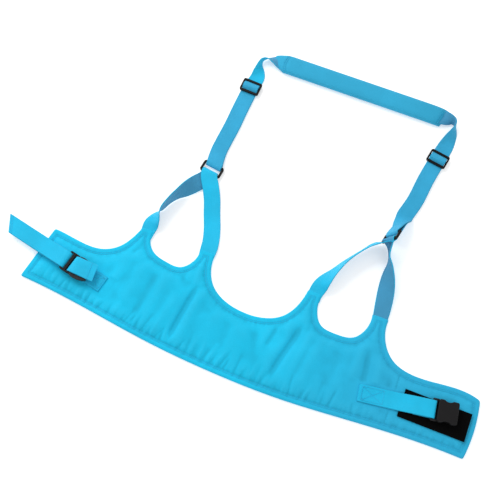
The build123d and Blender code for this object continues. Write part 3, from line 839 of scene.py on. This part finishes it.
vest_left = split_half(vest_points, vest_faces, vest_slots, vest_normals, -1, "vest_left_half")
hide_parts("vest_cover", "vest_foam", "vest_lining", "left_wing_cover",
            "left_wing_foam", "left_wing_lining")
blend_left(vest_left)
vest_right = split_half(vest_points, vest_faces, vest_slots, vest_normals, 1, "vest_right_half")
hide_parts("right_wing_cover", "right_wing_foam", "right_wing_lining")
blend_right(vest_right)


# ---------------------------------------------------------------- topstitching on the vest
def surface_lookup(points):
    """Height of the cover at plan points in mm, from the nearest point of the vest's mesh."""
    top = vest_points[vest_normals[:, 2] > 0.15]
    found = np.zeros(len(points))
    for i, spot in enumerate(points):
        gap = np.hypot(top[:, 0] - spot[0], top[:, 1] - spot[1])
        near = np.argpartition(gap, 3)[:3]
        weight = 1 / (gap[near] + 0.05)
        found[i] = (top[near, 2] * weight).sum() / weight.sum()
    return found


LONGEST_GAP = 14.0        # a stitch line ends where its points are further apart than this


def stitched_runs(depth):
    """The stitch line at a depth inside the edge, cut where the vest's mesh is split."""
    line = line_inside(outline, inward, depth)
    closed = np.vstack([line, line[:1]])
    runs, run = [], [closed[0]]
    for a, b in zip(closed, closed[1:]):
        if (a[0] - SPLIT_X) * (b[0] - SPLIT_X) < 0 or np.hypot(*(b - a)) > LONGEST_GAP:
            runs.append(np.array(run))
            run = []
        run.append(b)
    runs.append(np.array(run))
    if (runs[0][0][0] - SPLIT_X) * (runs[-1][-1][0] - SPLIT_X) > 0:
        runs[0] = np.vstack([runs.pop(), runs[0]])
    return [run for run in runs if len(run) > 4]


def vest_stitching():
    for row, depth in enumerate(STITCH_LINES):
        for part, run in enumerate(stitched_runs(depth)):
            heights = surface_lookup(run)
            spots = [((x, y, z + 0.1), (0, 0, 1)) for (x, y), z in zip(run, heights)]
            seam = stitch_row(f"vest_topstitch_{row + 1}_{part + 1}", spots, vest_thread)
            (blend_left if run[:, 0].mean() < SPLIT_X else blend_right)(seam)


def box_stitch(name, centre, half, lean, lift, blend):
    """A rectangle of stitches with a cross in it, on top of sewn-down webbing."""
    c, s = cos(radians(lean)), sin(radians(lean))
    corners = []
    for u, v in ((-half[0], -half[1]), (half[0], -half[1]), half, (-half[0], half[1])):
        corners.append(((centre[0] + u * c - v * s, centre[1] + u * s + v * c, lift), (0, 0, 1)))
    for i, (a, b) in enumerate(((0, 1), (1, 2), (2, 3), (3, 0), (0, 2), (3, 1))):
        seam = stitch_row(f"{name}_{i + 1}", [corners[a], corners[b]], web_thread, pitch=2.6,
                          thread=0.3)
        blend(seam)


vest_stitching()


# ---------------------------------------------------------------- arm loops
def with_across(stations):
    """Stations (x, y, z, lean or across vector, optional width) as rows for a spline."""
    places = np.array([s[:3] for s in stations], float)
    heading = unit(np.gradient(places, axis=0))
    rows = []
    for i, station in enumerate(stations):
        if isinstance(station[3], tuple):
            across = unit(np.array(station[3]))
        else:
            level = unit(np.cross(heading[i], (0, 0, 1)))
            lean = radians(station[3])
            across = level * cos(lean) + np.cross(heading[i], level) * sin(lean)
        rows.append([*places[i], *across, station[4] if len(station) > 4 else WEB])
    return np.array(rows)


def routed_web(name, stations, top, under, step=2.5):
    """Webbing on a smooth curve through its stations."""
    run = spline_through(with_across(stations), step)
    return web_mesh(name, run[:, :3], run[:, 3:6], top, under, run[:, 6])


def blend_loops(piece):
    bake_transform(piece)


def box_middle(node):
    """The middle of a CAD node's box, in mm."""
    low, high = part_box(node)
    return (np.array(low) + np.array(high)) / 2 / MM


# Each ring's centre, the direction of its bars and the direction of its side rails.
BAR_PITCH = 16.0          # from one of a ring's bars to the other, centre to centre
LEFT_TURN = radians(-8)
left_ring = (box_middle("left_ring"), unit((cos(LEFT_TURN), sin(LEFT_TURN), 0)),
             unit((-sin(LEFT_TURN), cos(LEFT_TURN), 0)))
right_ring = (box_middle("right_ring"), unit((0.513, 0.157, 0.844)),
              unit((0.176, 0.943, -0.2825)))
TURN_OFF_BAR = 3.0        # how far webbing lies above and below a bar's centre,
TURN_ROUND_BAR = 5.2      # and how far it reaches past the centre into the ring's window


def bar_turn(ring, far, bar_sign, start_side):
    """Stations that take webbing round one bar of a ring, through its window.
    far is +1 for the bar nearer the handle; start_side is +1 to begin on the upper side."""
    centre, bar, rail = ring
    upper = unit(np.cross(bar, rail))
    middle = centre + rail * far * BAR_PITCH / 2
    across = tuple(bar * bar_sign)
    stations = []
    for angle in (0, 45, 90, 135, 180):
        out = (upper * start_side * cos(radians(angle)) * TURN_OFF_BAR
               - rail * far * sin(radians(angle)) * TURN_ROUND_BAR)
        stations.append((*(middle + out), across))
    return stations


def arm_loops():
    """Each loop is one webbing: up from a peak, round the ring's near bar, down to the next."""
    left = [(-167.8, -106, 2.6, 0, 20), (-167.3, -96, 2.9, 0, 21), (-166.6, -86, 4.6, -6, 24),
            (-164, -74, 8.9, -38), (-160.5, -59.5, 13.0, -82), (-154.5, -42, 13.3, -92),
            (-147, -28, 12.9, -104), (-138.5, -15, 10.6, -130), (-130, -1, 6.2, -155),
            (-121.5, 14, 1.3, -178)]
    left += bar_turn(left_ring, -1, -1, -1)
    left += [(-114.5, 15, 6.4, 0), (-107, 3, 5.6, 0), (-98, -14, 2.6, 0), (-90, -34, 1.5, 0),
             (-80, -58, 1.7, 0), (-74.5, -76, 2.4, 0), (-72.3, -90, 3.2, 0),
             (-72.0, -104, 2.6, 0, 22)]
    right = [(96.4, -106, 2.6, 0, 20), (96.6, -96, 3.0, 0, 21), (98.5, -86, 4.4, -4, 23),
            (103, -73, 9.0, -34), (110.5, -57, 12.2, -58), (122, -35, 13.3, -72),
            (139, -11, 13.5, -76), (153, 4.5, 14.8, -68)]
    right += bar_turn(right_ring, -1, 1, -1)
    right += [(174.0, 5, 16.0, -92), (178.5, -9, 13.6, -86), (183, -24, 12.9, -112),
              (187.5, -42, 9.6, -142), (191.5, -62, 5.0, -168), (194.2, -82, 3.4, -180, 24),
              (195.4, -96, 2.9, -180, 22), (195.6, -106, 2.6, -180, 20)]
    for name, stations, replaced in (
            ("left_arm_loop", left, ("left_loop_outer_leg", "left_loop_inner_leg",
                                     "loop_end_tabs")),
            ("right_arm_loop", right, ("right_loop_inner_leg", "right_loop_outer_leg"))):
        loop = routed_web(name, stations, bright_web, underside_shade_web)
        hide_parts(*replaced)
        blend_loops(loop)


arm_loops()


# ---------------------------------------------------------------- handle straps
BUTT_Y = 84.0             # the ring turn ends here and the two running layers begin
STRAP_LEAN = {"left": 2.9, "right": 10.2}
STRAP_BOW = {"left": (0.8, 110, 24), "right": (2.6, 96, 26)}   # size, y of its middle, reach
SLACK_PHASE = {"left": 0.4, "right": 2.1}
SLACK_HEIGHT = 0.25       # low enough for the sliders to pass over
UPPER_LAYER, LOWER_LAYER = 2.7, 0.8        # heights of a strap's two layers
slider_at = {side: box_middle(f"{side}_slider") for side in ("left", "right")}


def strap_x(side, y):
    """Centre of a handle strap at y; each bows a little outwards."""
    slider = slider_at[side]
    size, middle, reach = STRAP_BOW[side]
    bow = size * exp(-((y - middle) / reach) ** 2)
    return slider[0] + (y - slider[1]) * tan(radians(STRAP_LEAN[side])) + bow


def slack(side, y):
    """How far both layers of a strap stand off the surface, in mm."""
    share = np.clip((y - 66) / 20, 0, 1) * np.clip((slider_at[side][1] - 14 - y) / 20, 0, 1)
    return SLACK_HEIGHT / 2 * share * (1 + sin(y / 11 + SLACK_PHASE[side]))


def strap_across(side):
    lean = radians(STRAP_LEAN[side])
    return (cos(lean), -sin(lean), 0.0)


def ring_turns():
    """From the top layer down round the ring's far bar and back up as the lower layer."""
    for side, ring in (("left", left_ring), ("right", right_ring)):
        flat = tuple(-v for v in strap_across(side))
        bar = -ring[1]
        ends = []
        for y in (BUTT_Y, 76, 68):
            ends.append((strap_x(side, y), y, UPPER_LAYER + slack(side, y), flat))
        if side == "left":
            over = [(-117.9, 58, 3.2, flat), (-116.8, 48, 5.0, tuple(bar))]
            below = [(-116.8, 48, 1.0, tuple(bar)), (-117.9, 58, 0.85, flat)]
        else:
            tilt = [unit(np.array(flat) * (1 - s) + bar * s) for s in (0.4, 0.85)]
            over = [(179.2, 59, 5.2, tuple(tilt[0])), (175.6, 45, 14.0, tuple(tilt[1]))]
            below = [(177.6, 45, 12.2, tuple(tilt[1])), (180.0, 59, 3.2, tuple(tilt[0]))]
        drop = UPPER_LAYER - LOWER_LAYER
        back = [(x, y, z - drop, across) for x, y, z, across in reversed(ends)]
        stations = ends + over + bar_turn(ring, 1, -1, 1) + below + back
        turn = routed_web(f"{side}_ring_turn", stations, strap_web, underside_shade_web, step=2.0)
        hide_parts(f"{side}_ring_strap")
        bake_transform(turn)


# From each slider the webbing narrows, turns on its edge at the corner and enters the handle.
CORNERS = {
    "left": [(-109.6, 204, 1.4, (0.99, -0.05, -0.02), 23), (-111, 215, 3.4, (0.9, 0.0, -0.4), 19),
             (-113.2, 226, 6.0, (0.45, 0.05, -0.88), 14), (-112.0, 234.5, 6.8, (0.1, 0.2, -0.97), 12),
             (-105, 239.6, 7.0, (0.0, 0.5, -0.86), 13), (-96, 240.6, 6.8, (0.0, 0.85, -0.5), 18),
             (-84, 241, 6.0, (0.0, 1.0, 0.0), 24), (-66, 241, 5.6, (0.0, 1.0, 0.0), 25)],
    "right": [(203.2, 197, 1.5, (0.96, -0.2, -0.12), 24), (205.6, 211, 3.6, (0.88, -0.15, -0.4), 21),
              (207.4, 224, 6.6, (0.62, -0.1, -0.76), 17), (206.8, 234.5, 7.6, (0.2, -0.15, -0.96), 14),
              (202, 240.5, 7.6, (0.0, -0.5, -0.86), 14), (194, 241.5, 7.0, (0.0, -0.85, -0.5), 19),
              (183, 241.2, 6.0, (0.0, -1.0, 0.0), 24), (166, 241, 5.6, (0.0, -1.0, 0.0), 25)],
}
# The turn over a slider's middle bar: run along the strap and height, in mm.
SLIDER_TURN = ((-10.5, 2.7), (-8.2, 2.9), (-5.5, 5.4), (-2.6, 8.1), (0, 8.7), (2.6, 8.1),
               (5.5, 5.6), (8.4, 3.0), (11.5, 2.7))


def running_layers():
    """Per side: the top layer that ends at the slider, and the layer on to the handle."""
    for side in ("left", "right"):
        slider = slider_at[side]
        flat = strap_across(side)
        top_end = slider[1] - 7.5
        fixed = [(strap_x(side, y), y, UPPER_LAYER + slack(side, y), flat)
                 for y in np.linspace(BUTT_Y, top_end, 14)]
        layer = routed_web(f"{side}_fixed_layer", fixed, strap_web, underside_shade_web)
        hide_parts(f"{side}_lower_strap")
        lean = radians(STRAP_LEAN[side])
        along = np.array([sin(lean), cos(lean), 0])
        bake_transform(layer)

        run = [(strap_x(side, y), y, LOWER_LAYER + slack(side, y), flat)
               for y in np.linspace(BUTT_Y, slider[1] + 6, 14)]
        run += CORNERS[side]
        strap = routed_web(f"{side}_handle_strap", run, bright_web if side == "left" else strap_web,
                           underside_shade_web)
        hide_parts(f"{side}_upper_strap")
        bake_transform(strap)

        hump = [(*(slider[:2] + along[:2] * at), z, flat) for at, z in SLIDER_TURN]
        turn = routed_web(f"{side}_slider_turn", hump, strap_web, underside_shade_web, step=0.8)
        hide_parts(f"{side}_slider_strap")
        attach(turn, f"slider_{side}")


ring_turns()
running_layers()


# ---------------------------------------------------------------- wing straps
strap_fold = np.array(joints["strap_unfold"]["pos_m"]) / MM
LEFT_LEAN, RIGHT_LEAN = -12.0, 8.0         # degrees
left_dir = np.array([cos(radians(LEFT_LEAN)), sin(radians(LEFT_LEAN)), 0.0])
left_side = np.array([-left_dir[1], left_dir[0], 0.0])
right_dir = np.array([cos(radians(RIGHT_LEAN)), sin(radians(RIGHT_LEAN)), 0.0])


def profile_route(origin, direction, profile, width_dir):
    """Stations for webbing in one upright plane; profile is (run, z) in mm."""
    return [(*(origin + direction * run)[:2], z, tuple(width_dir)) for run, z in profile]


TAIL_END = 155.0          # where the free end is cut
TAIL_HEM = 8.6            # how far it is folded under
TAIL_TURN_FROM = 118.0    # from here the free end lies at an angle to the strap, in plan
TAIL_TURN = radians(9.0)
FOLD_SLANT = 0.65         # the strap doubles back aslant
TAIL_SLANT = 0.12         # and its free end is cut slightly aslant


def left_wing_strap():
    """Sewn to the wing, out past its end, folded back over it and laced through the plug."""
    profile = [(171, 7.7), (150, 7.8), (110, 7.8), (60, 7.8), (20, 7.8), (4, 7.75), (0.6, 7.8),
               (-0.45, 8.35), (-0.45, 9.45), (0.6, 10.0), (4, 10.05), (20, 10.3), (52, 11.4),
               (80, 13.2), (96, 15.6), (103, 17.0), (107, 16.2), (109.2, 13.4), (111.2, 10.9),
               (114.6, 10.6), (117.0, 13.6), (119.2, 17.2), (124, 18.2), (134, 18.0),
               (146, 17.7), (TAIL_END, 17.5)]
    strap = routed_web("left_wing_strap", profile_route(strap_fold, left_dir, profile, left_side),
                       bright_web, bright_web, step=1.2)
    # The fold lies slightly aslant, the free end turns a little in plan and is cut aslant.
    mesh = strap.data
    for vertex in mesh.vertices:
        place = np.array(vertex.co) / MM
        run, side = (place - strap_fold) @ left_dir, (place - strap_fold) @ left_side
        place += left_dir * np.clip(1 - run / 60, 0, 1) * (1 - side * FOLD_SLANT)
        if place[2] > 9.4 and run > TAIL_TURN_FROM:
            free = run - TAIL_TURN_FROM
            place += tan(TAIL_TURN) * (left_side * free - left_dir * side * min(free / 6, 1))
            place -= left_dir * side * TAIL_SLANT * np.clip((free - 16) / 14, 0, 1)
        vertex.co = Vector(place * MM)
    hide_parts("left_strap_under", "left_strap_fold", "left_strap_return")
    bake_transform(strap)
    for i, run in enumerate((2.2, 5.0)):
        ends = [strap_fold + left_dir * (run + 1 - v * FOLD_SLANT) + left_side * v
                for v in (12, 0, -12)]
        spots = [((x, y, 10.85), (0, 0, 1)) for x, y, _ in ends]
        seam = stitch_row(f"left_strap_hem_{i + 1}", spots, web_thread, pitch=2.4)
        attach(seam, "tail")
    hem_run = TAIL_END - TAIL_HEM
    hem_side = (hem_run - TAIL_TURN_FROM) * tan(TAIL_TURN)
    end = strap_fold + left_dir * hem_run + left_side * hem_side
    across = left_side - left_dir * (TAIL_SLANT + tan(TAIL_TURN))
    spots = [((*(end + across * v)[:2], 18.6), (0.1, 0, 1)) for v in (12, 0, -12)]
    seam = stitch_row("left_strap_tail_hem", spots, web_thread, pitch=2.4)
    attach(seam, "tail")
    centre = strap_fold + left_dir * 156
    box_stitch("left_anchor_stitch", centre, (13, 9.5), LEFT_LEAN, 8.65, blend_left)


SOCKET_TURN = 2.9         # radius of the webbing's turn round the socket's bar


def right_wing_strap():
    """From its sewn end on the vest, across the patch and round the socket's bar."""
    bar = np.array(joints["socket_swing"]["pos_m"]) / MM
    turn = [(SOCKET_TURN * cos(radians(a)), bar[2] + SOCKET_TURN * sin(radians(a)))
            for a in (70, 35, 0, -35, -70, -100)]
    profile = [(-104, 7.0), (-90, 7.6), (-60, 8.0), (-46, 8.9), (-34, 11.0), (-20, 13.8),
               (-10, 15.0), (-4, 15.3)] + turn + [(-6, 9.6), (-16, 9.4), (-26, 9.5)]
    stations = profile_route(bar, right_dir, profile, np.cross(right_dir, (0, 0, 1)))
    strap = routed_web("right_wing_strap", stations, bright_web, bright_web, step=1.6)
    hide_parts("right_strap", "right_strap_anchor")
    blend_right(strap)
    centre = bar - right_dir * 84
    box_stitch("right_anchor_stitch", centre, (15, 9.5), RIGHT_LEAN, 8.55, blend_right)


left_wing_strap()
right_wing_strap()


# ---------------------------------------------------------------- padded handle
def handle_section(share, half, height):
    """A flattened tube's section: y, z in mm for a share of the way round."""
    angle = 2 * pi * share
    y = half * np.sign(cos(angle)) * abs(cos(angle)) ** 0.62
    z = height / 2 * (1 + np.sign(sin(angle)) * abs(sin(angle)) ** 0.7)
    return y, z


TAPER = 16.0              # the sleeve narrows over this length past its padded part
SLEEVE_HALF = 15.6        # half its width
SLEEVE_HEIGHT = 10.6
SLEEVE_SIDES = 44
END_WIDTH = 0.42          # share of the width and height that is left at the narrow end
END_SWEEP = 20.0          # the right end is cut aslant over this length
# Its rows of stitches: from which end, how far in and how much the row curves or slants.
SLEEVE_STITCHES = (("left_1", TAPER + 4, -3.0), ("left_2", TAPER + 7, -3.0),
                   ("right_1", -6, 3.4), ("right_2", -9, 3.4))


def sleeve_ring(x, low, high, middle, ripples):
    """One ring of the sleeve's points in mm at x, and their places in the cloth."""
    left_end, right_end = x - low, high - x
    narrow = min(left_end / (TAPER + 4), 1.0)
    swell = END_WIDTH + (1 - END_WIDTH) * min(left_end / 26, 1.0) ** 0.8
    fat = (1 - 0.68 * exp(-right_end / 7.5)) * swell
    half = (SLEEVE_HALF - 1.2 * exp(-right_end / 5)) * (END_WIDTH + (1 - END_WIDTH) * narrow ** 0.8)
    drift = 3.2 * (1 - narrow)
    ripple = sum(lift * exp(-((x - at) / reach) ** 2) for at, lift, reach in ripples)
    points, cloth = [], []
    for k in range(SLEEVE_SIDES):
        y, z = handle_section(k / SLEEVE_SIDES, half, SLEEVE_HEIGHT * fat + 0.8)
        sweep = 0.22 * max(END_SWEEP - right_end, 0.0) * (y / half)
        if z > 4:
            z += ripple * 0.4 * (1 - abs(y / half) ** 3)
        points.append((x + sweep, middle + y + drift, max(z, 0.05)))
        cloth.append((x, middle + y, z))
    return points, cloth


def sleeve_stitching(points, low, high, middle):
    for name, place, curve in SLEEVE_STITCHES:
        left = "left" in name
        x = (low if left else high) + place
        spots = []
        for v in np.linspace(-14, 14, 15):
            slant = curve * (1 - (v / 14) ** 2) if left else curve * v / 14
            spot = (x + slant, middle + v)
            near = np.argsort(hypot_rows(points[:, :2], spot))[:8]
            spots.append(((*spot, points[near, 2].max() + 0.1), (0, 0, 1)))
        seam = stitch_row(f"handle_stitch_{name}", spots, vest_thread)
        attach(seam, "handle")


def padded_handle():
    (low, low_y, _), (high, high_y, _) = (np.array(corner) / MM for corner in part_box("handle_sleeve"))
    middle = (low_y + high_y) / 2
    low -= TAPER
    length = int((high - low) / 2.5)
    ripples = [(random.uniform(low + 10, high - 10), random.uniform(-0.9, 0.9),
                random.uniform(4, 12)) for _ in range(16)]
    points, cloth, faces = [], [], []
    for i in range(length + 1):
        ring, ring_cloth = sleeve_ring(low + (high - low) * i / length, low, high, middle, ripples)
        points += ring
        cloth += ring_cloth
    for i in range(0, length * SLEEVE_SIDES, SLEEVE_SIDES):
        for k in range(SLEEVE_SIDES):
            a, b = i + k, i + (k + 1) % SLEEVE_SIDES
            faces.append((a, a + SLEEVE_SIDES, b + SLEEVE_SIDES, b))
    faces.append(tuple(range(SLEEVE_SIDES)))
    faces.append(tuple(reversed(range(length * SLEEVE_SIDES, len(points)))))
    points = np.array(points)
    sleeve = make_piece("padded_handle", points * MM, faces, [handle_cloth], None,
                        np.array(cloth) * MM)
    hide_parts("handle_sleeve", "handle_foam", "handle_webbing")
    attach(sleeve, "handle")
    sleeve_stitching(points, low, high, middle)


padded_handle()


# ---------------------------------------------------------------- hardware and patches
REPAINTED = {
    "socket_body": buckle_plastic, "plug_body": buckle_plastic, "plug_prong_upper": prong_plastic,
    "plug_prong_lower": prong_plastic, "left_slider": slider_plastic,
    "right_slider": slider_plastic, "left_ring": ring_plastic, "right_ring": ring_plastic,
    "hook_patch": hook_tape, "loop_patch": loop_tape,
}
for node, material in REPAINTED.items():
    nodes[node].data.materials.clear()
    nodes[node].data.materials.append(material)


# ---------------------------------------------------------------- floor, light, camera
WORLD_LIGHT = 0.62
FLOOR, LOW = 40.0, -0.0004         # half the floor's side, and its height, in metres
LIGHTS = (("key", (-1.3, 0.9, 1.3), 1.3, 30.0), ("fill", (1.3, -0.8, 1.6), 1.6, 9.0))


def studio():
    """A pale floor, soft light from all round and one large soft key light."""
    mesh = bpy.data.meshes.new("floor")
    mesh.from_pydata([(-FLOOR, -FLOOR, LOW), (FLOOR, -FLOOR, LOW), (FLOOR, FLOOR, LOW),
                      (-FLOOR, FLOOR, LOW)], [], [(0, 1, 2, 3)])
    ground = bpy.data.objects.new("floor", mesh)
    bpy.context.scene.collection.objects.link(ground)
    paper = Paint("floor_paper", rough=0.9, specular=0.1)
    paper.set("Base Color", (0.88, 0.88, 0.88, 1))
    paper.set("Emission Color", (1, 1, 1, 1))
    paper.set("Emission Strength", 0.34)
    mesh.materials.append(paper.material)
    world = bpy.data.worlds.new("studio")
    world.use_nodes = True
    world.node_tree.nodes["Background"].inputs["Color"].default_value = (1, 1, 1, 1)
    world.node_tree.nodes["Background"].inputs["Strength"].default_value = WORLD_LIGHT
    bpy.context.scene.world = world
    for name, place, size, power in LIGHTS:
        light = bpy.data.lights.new(name, "AREA")
        light.energy, light.size = power, size
        lamp = bpy.data.objects.new(name, light)
        lamp.location = place
        lamp.rotation_euler = (-Vector(place)).to_track_quat("-Z", "Y").to_euler()
        bpy.context.scene.collection.objects.link(lamp)


CAMERA_TURN, CAMERA_RISE = radians(21.4), radians(72)
CAMERA_AIM, CAMERA_DISTANCE = Vector((-0.016, -0.067, 0.0)), 1.18      # metres


def camera():
    """Looks down steeply on the harness, turned so that the vest runs across and away."""
    back = Vector((sin(CAMERA_TURN) * cos(CAMERA_RISE), -cos(CAMERA_TURN) * cos(CAMERA_RISE),
                   sin(CAMERA_RISE)))
    lens = bpy.data.cameras.new("camera")
    lens.lens, lens.sensor_width = 57.6, 36.0
    view = bpy.data.objects.new("camera", lens)
    view.location = CAMERA_AIM + back * CAMERA_DISTANCE
    view.rotation_euler = (-back).to_track_quat("-Z", "Y").to_euler()
    bpy.context.scene.collection.objects.link(view)
    bpy.context.scene.camera = view


studio()
camera()
bpy.context.scene.view_settings.view_transform = "Standard"
